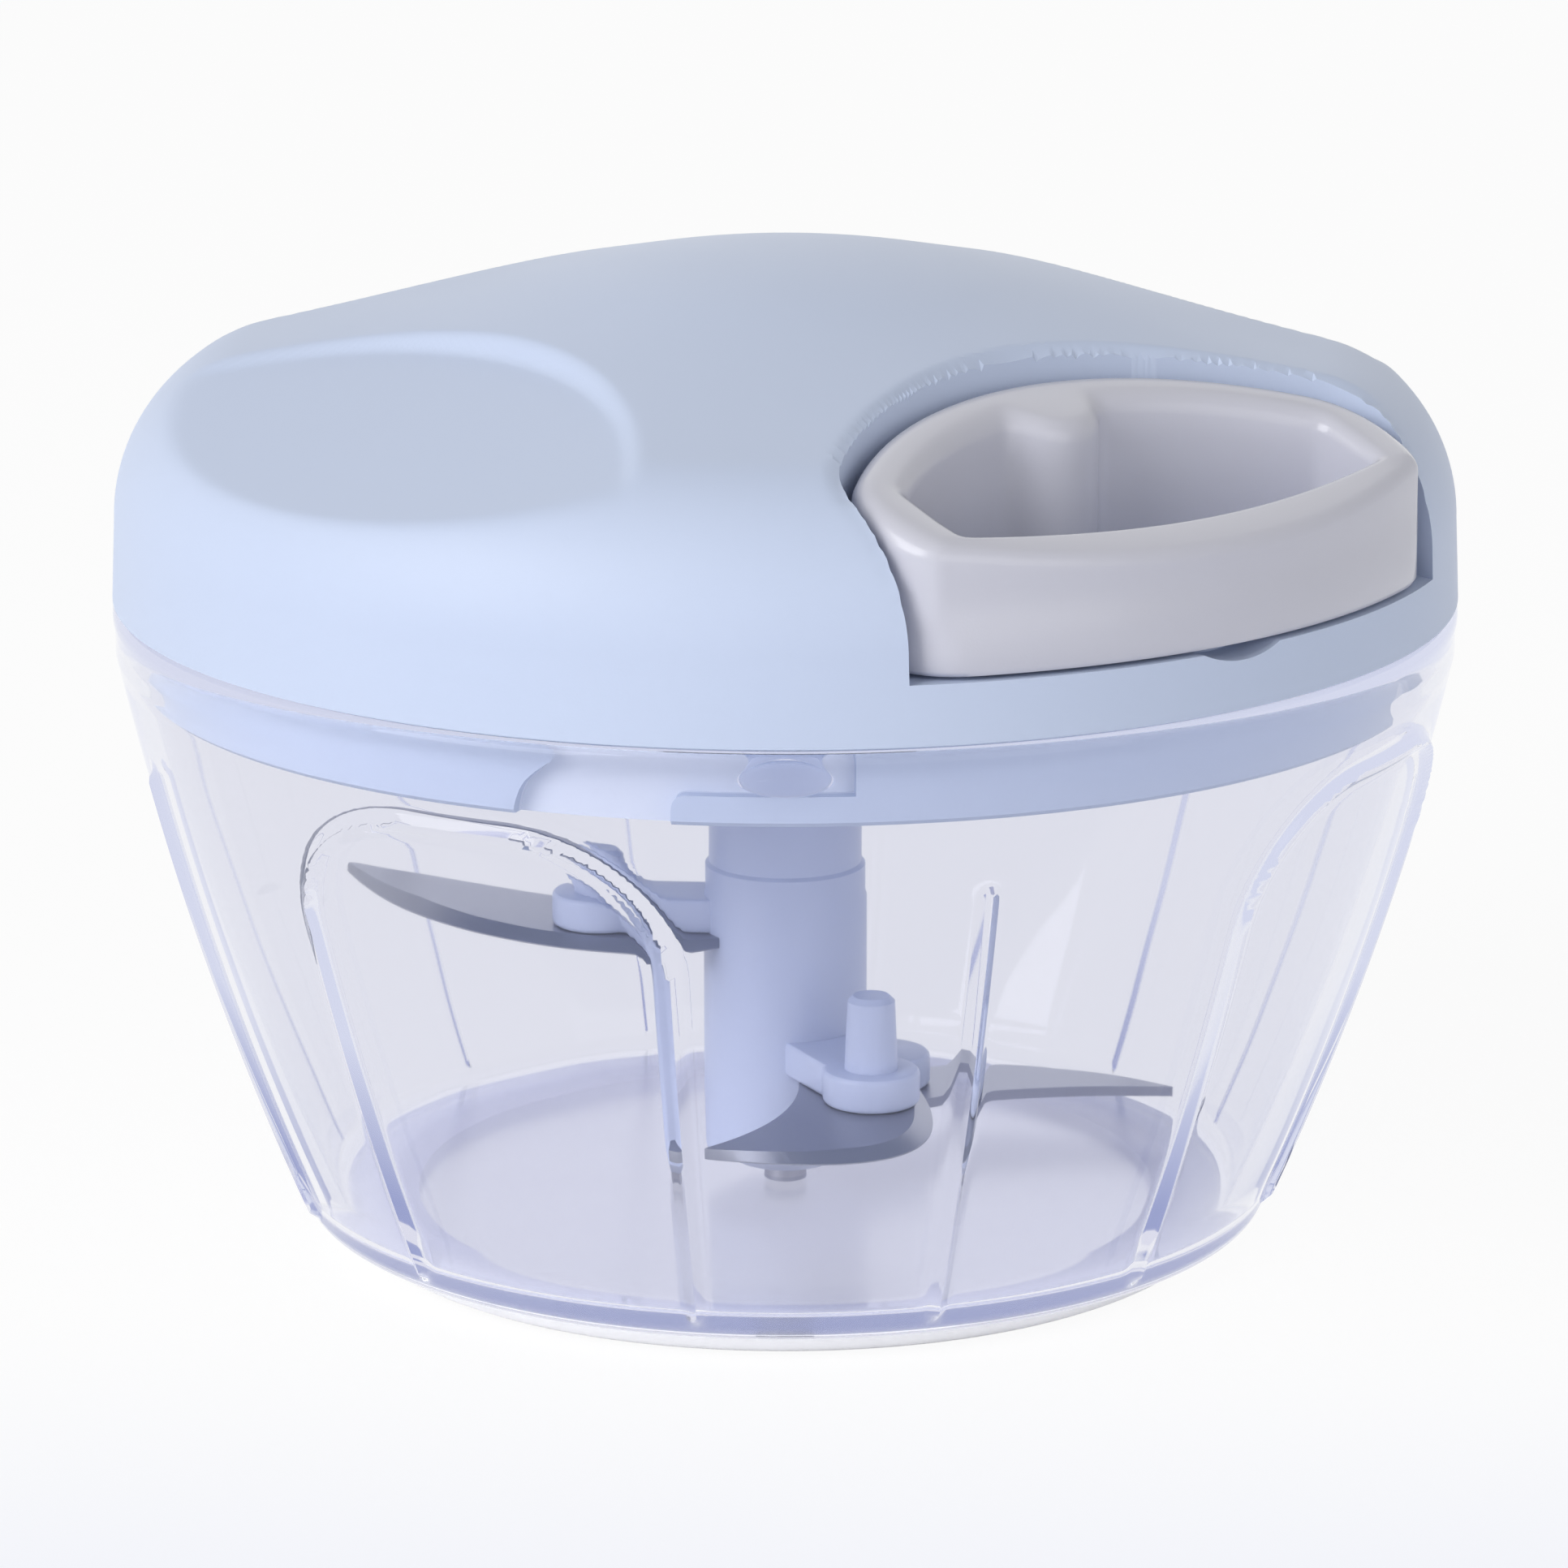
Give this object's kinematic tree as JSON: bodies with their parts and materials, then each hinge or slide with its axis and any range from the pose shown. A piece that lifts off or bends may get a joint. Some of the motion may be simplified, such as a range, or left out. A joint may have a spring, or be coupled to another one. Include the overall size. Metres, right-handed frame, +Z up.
{
  "type": "pull-string food chopper",
  "caption": "Round hand food chopper: clear bowl with a twist-lock domed lid, a ring handle on a sprung cord that spins a column of sickle blades.",
  "frame": {"origin": "centre of the base ring's resting face", "axes": "+Z up along the blade axis, +X the way the handle is pulled"},
  "size_m": [0.125, 0.125, 0.0936],
  "materials": {
    "clear_bowl": "clear moulded plastic, polished",
    "grip_rubber": "soft white, matte",
    "lid_plastic": "satin powder blue",
    "handle_plastic": "semi-gloss light grey",
    "column_plastic": "satin blue-grey",
    "inner_plastic": "plain moulded, off-white",
    "blade_steel": "bright ground stainless",
    "steel": "plain steel",
    "cord": "braided white cord"
  },
  "bodies": {
    "base": {"bowl": "clear_bowl", "base_grip_ring": "grip_rubber", "pivot_pin": "steel"},
    "lid": {"top_cover": "lid_plastic", "lower_cover": "lid_plastic", "cover_screws": "steel", "hub_bush": "inner_plastic", "reel_washer": "steel", "reel_screw": "steel", "cord_eyelet": "steel", "cord_run": "cord"},
    "handle": {"pull_handle": "handle_plastic", "cord_lead": "cord", "cord_knot": "cord"},
    "rotor": {"cord_reel": "inner_plastic", "mainspring": "steel", "spring_cap": "inner_plastic", "cord_winding": "cord", "drive_hub": "inner_plastic", "blade_column": "column_plastic", "upper_blade": "blade_steel", "middle_blade": "blade_steel", "lower_blade": "blade_steel"}
  },
  "joints": [
    {"name": "lid_twist", "type": "hinge", "parent": "base", "child": "lid", "pos_m": [0, 0, 0.062], "axis": [0, 0, 1], "range_deg": [0, 16]},
    {"name": "rotor_spin", "type": "hinge", "parent": "lid", "child": "rotor", "pos_m": [0, 0, 0.062], "axis": [0, 0, 1], "range_deg": [0, 1490], "stiffness_Nm_per_rad": 0.002, "springref_deg": -343.77},
    {"name": "handle_pull", "type": "slide", "parent": "lid", "child": "handle", "axis": [1, 0, 0], "range_m": [0, 0.5]}
  ],
  "couplings": [
    {"joint": "handle_pull", "follows": "rotor_spin", "m_per_rad": 0.0192}
  ]
}
